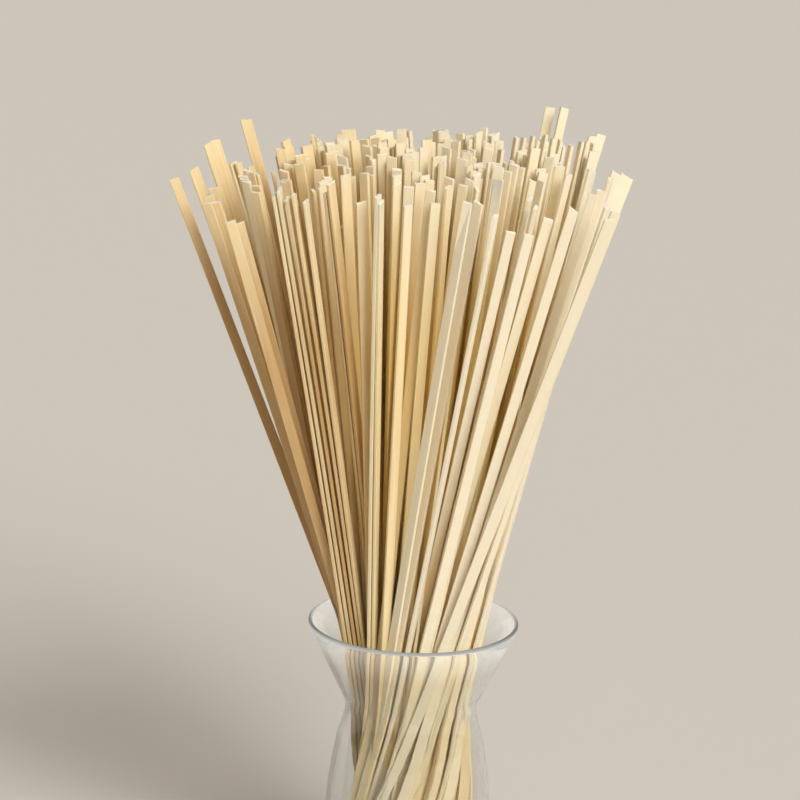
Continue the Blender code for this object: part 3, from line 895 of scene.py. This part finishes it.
def new_material(name):
    """An empty node material and its Principled shader."""
    material = bpy.data.materials.new(name)
    material.use_nodes = True
    return material, material.node_tree.nodes["Principled BSDF"]


def glass_material():
    """Clear, nearly colourless glass with a faint glow that grows towards the rim."""
    material, shader = new_material("clear_glass")
    shader.inputs["Base Color"].default_value = GLASS_TINT
    shader.inputs["Roughness"].default_value = 0.0
    shader.inputs["Emission Color"].default_value = GLASS_GLOW
    shader.inputs["IOR"].default_value = GLASS_IOR
    shader.inputs["Transmission Weight"].default_value = 1.0
    nodes = material.node_tree.nodes
    links = material.node_tree.links
    place = nodes.new("ShaderNodeNewGeometry")
    split = nodes.new("ShaderNodeSeparateXYZ")
    links.new(place.outputs["Position"], split.inputs["Vector"])
    glow = nodes.new("ShaderNodeMapRange")
    glow.inputs["From Min"].default_value = WALL_GLOW[1]
    glow.inputs["From Max"].default_value = RIM_GLOW[1]
    glow.inputs["To Min"].default_value = WALL_GLOW[0]
    glow.inputs["To Max"].default_value = RIM_GLOW[0]
    links.new(split.outputs["Z"], glow.inputs["Value"])
    links.new(glow.outputs["Result"], shader.inputs["Emission Strength"])
    return material


def noodle_material():
    """Dried dough: tan to cream by tone, which carries painted shade and light, painted gold
    deep in the bundle for bounced light, paler cut ends painted lit from above, and faint
    streaks.
    """
    material, shader = new_material("dried_noodle")
    nodes = material.node_tree.nodes
    links = material.node_tree.links
    tone = nodes.new("ShaderNodeAttribute")
    tone.attribute_name = "tone"
    cut = nodes.new("ShaderNodeAttribute")
    cut.attribute_name = "cut"
    lay = nodes.new("ShaderNodeAttribute")
    lay.attribute_name = "lay"
    stretch = nodes.new("ShaderNodeMapping")
    stretch.inputs["Scale"].default_value = STREAK_SCALE
    links.new(lay.outputs["Vector"], stretch.inputs["Vector"])
    streaks = nodes.new("ShaderNodeTexNoise")
    streaks.inputs["Scale"].default_value = 1.0
    streaks.inputs["Detail"].default_value = STREAK_DETAIL
    links.new(stretch.outputs["Vector"], streaks.inputs["Vector"])
    shift = nodes.new("ShaderNodeMath")
    shift.operation = "MULTIPLY_ADD"
    shift.inputs[1].default_value = STREAK_TONE
    links.new(streaks.outputs["Fac"], shift.inputs[0])
    links.new(tone.outputs["Fac"], shift.inputs[2])
    # The tone, with its painted light and shade, runs from dark dough in shade to pale dough in
    # light.
    ramp = nodes.new("ShaderNodeValToRGB")
    stops = ramp.color_ramp.elements
    stops[0].position = DARK_TONE
    stops[0].color = (*DARK_AND_SHADED_DOUGH, 1.0)
    stops[1].position = PALE_TONE
    stops[1].color = (*PALE_AND_LIT_DOUGH, 1.0)
    stops.new(MIDDLE_TONE).color = (*DOUGH, 1.0)
    links.new(shift.outputs["Value"], ramp.inputs["Fac"])
    # Painted gold deep in the bundle and in the glass, standing for light bounced between the
    # noodles.
    deep = nodes.new("ShaderNodeAttribute")
    deep.attribute_name = "deep"
    inside = nodes.new("ShaderNodeMix")
    inside.data_type = "RGBA"
    inside.inputs["B"].default_value = (*PAINTED_BOUNCE_GOLD, 1.0)
    links.new(deep.outputs["Fac"], inside.inputs["Factor"])
    links.new(ramp.outputs["Color"], inside.inputs["A"])
    # Paler cut ends: painted light from above.
    ends = nodes.new("ShaderNodeMix")
    ends.data_type = "RGBA"
    ends.inputs["B"].default_value = (*LIT_CUT_DOUGH, 1.0)
    links.new(cut.outputs["Fac"], ends.inputs["Factor"])
    links.new(inside.outputs["Result"], ends.inputs["A"])
    links.new(ends.outputs["Result"], shader.inputs["Base Color"])
    shader.inputs["Roughness"].default_value = DOUGH_ROUGHNESS
    shader.inputs["IOR"].default_value = DOUGH_IOR
    shader.inputs["Subsurface Weight"].default_value = SCATTER_WEIGHT
    shader.inputs["Subsurface Radius"].default_value = SCATTER_RADIUS
    shader.inputs["Subsurface Scale"].default_value = SCATTER_DEPTH
    bump = nodes.new("ShaderNodeBump")
    bump.inputs["Strength"].default_value = STREAK_BUMP
    bump.inputs["Distance"].default_value = STREAK_HEIGHT
    links.new(streaks.outputs["Fac"], bump.inputs["Height"])
    links.new(bump.outputs["Normal"], shader.inputs["Normal"])
    return material


# ------------------------------------------------------------------ pieces and stage

def add_piece(name, mesh, material):
    """A new object of this mesh and material in the scene."""
    piece = bpy.data.objects.new(name, mesh)
    piece.data.materials.append(material)
    bpy.context.scene.collection.objects.link(piece)
    return piece


def make_floor():
    """A plain pale floor."""
    mesh = bpy.data.meshes.new("floor")
    half = FLOOR_SIZE / 2
    corners = [(-half, -half, 0.0), (half, -half, 0.0), (half, half, 0.0), (-half, half, 0.0)]
    mesh.from_pydata(corners, [], [(0, 1, 2, 3)])
    material, shader = new_material("floor")
    shader.inputs["Base Color"].default_value = FLOOR_COLOR
    shader.inputs["Roughness"].default_value = FLOOR_ROUGHNESS
    add_piece("floor", mesh, material)


def sun_light(name, toward, strength, softness, color):
    """A far soft lamp that shines from one side and doesn't show in the glass."""
    data = bpy.data.lights.new(name, "SUN")
    data.energy = strength
    data.angle = softness
    data.color = color
    lamp = bpy.data.objects.new(name, data)
    lamp.rotation_euler = Vector(toward).to_track_quat("Z", "Y").to_euler()
    lamp.visible_transmission = False
    lamp.visible_glossy = False
    bpy.context.scene.collection.objects.link(lamp)


def make_lights():
    """A soft key at the front right, weak lamps in front and behind, and a warm sky."""
    for lamp in LAMPS:
        sun_light(*lamp)
    world = bpy.data.worlds.new("studio")
    world.use_nodes = True
    sky = world.node_tree.nodes["Background"]
    sky.inputs["Color"].default_value = SKY_COLOR
    sky.inputs["Strength"].default_value = SKY_STRENGTH
    bpy.context.scene.world = world


def make_camera():
    """The photograph's viewing angle: 14.8 degrees down on the front."""
    data = bpy.data.cameras.new("camera")
    data.lens = CAMERA_LENS
    data.sensor_width = SENSOR_WIDTH
    camera = bpy.data.objects.new("camera", data)
    bpy.context.scene.collection.objects.link(camera)
    back = Vector((0.0, -math.cos(CAMERA_PITCH), math.sin(CAMERA_PITCH)))
    camera.location = Vector(CAMERA_AIM) + back * CAMERA_DISTANCE
    look = (-back).to_track_quat("-Z", "Y").to_matrix()
    camera.rotation_euler = (look @ Matrix.Rotation(CAMERA_ROLL, 3, "Z")).to_euler()
    bpy.context.scene.camera = camera


def main():
    """Dress the two solids and set the stage."""
    wall = inner_wall(outer_wall())
    glass = make_glass(glass_material())
    noodles = make_noodles(wall, noodle_material())
    for piece, node, slot in (
        (glass, "glass", "clear_glass"),
        (noodles, "noodles", "dried_noodle"),
    ):
        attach(piece, "root")
        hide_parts(node)
    make_floor()
    make_lights()
    make_camera()
    bpy.context.scene.view_settings.view_transform = "Standard"


main()
